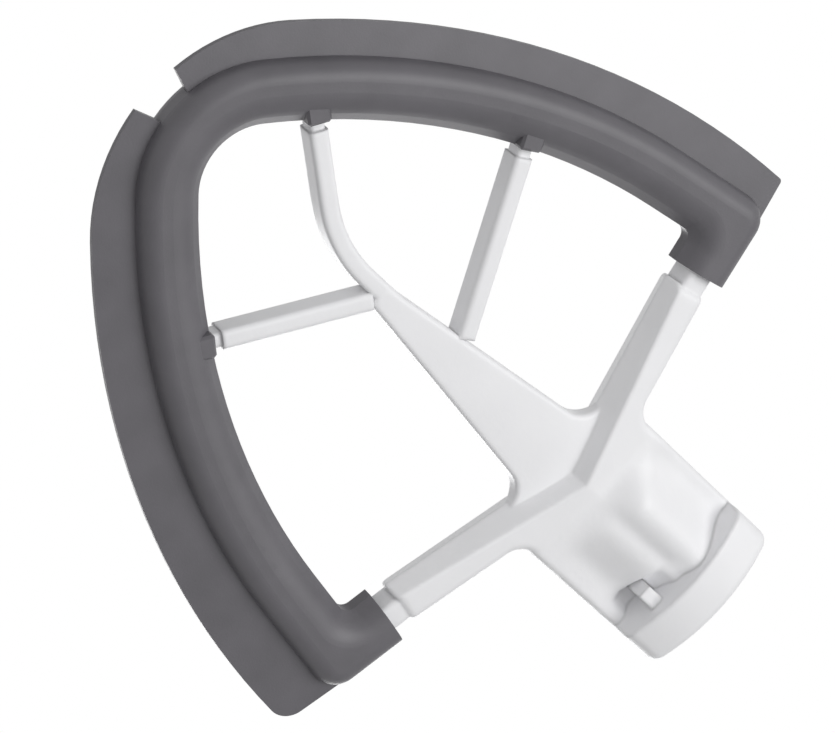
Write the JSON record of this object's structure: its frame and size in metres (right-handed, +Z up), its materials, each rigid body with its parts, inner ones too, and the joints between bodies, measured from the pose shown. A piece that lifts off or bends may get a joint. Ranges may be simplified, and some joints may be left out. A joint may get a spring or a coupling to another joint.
{
  "type": "stand mixer flat beater",
  "caption": "Flat beater for a stand mixer: a white-coated cast frame with a hub bore, tapered web, arms and spokes, edged by a dark grey rubber scraper moulded round its rim.",
  "frame": {"origin": "centre of the bore mouth on the collar's end face", "axes": "+Z up along the bore towards the mixer, X across the beater, -Y out of the front face"},
  "size_m": [0.1401, 0.026, 0.1618],
  "materials": {
    "white_coating": "satin",
    "grey_rubber": "matte"
  },
  "bodies": {
    "root": {"cast_frame": "white_coating", "rubber_edge": "grey_rubber"}
  },
  "joints": []
}
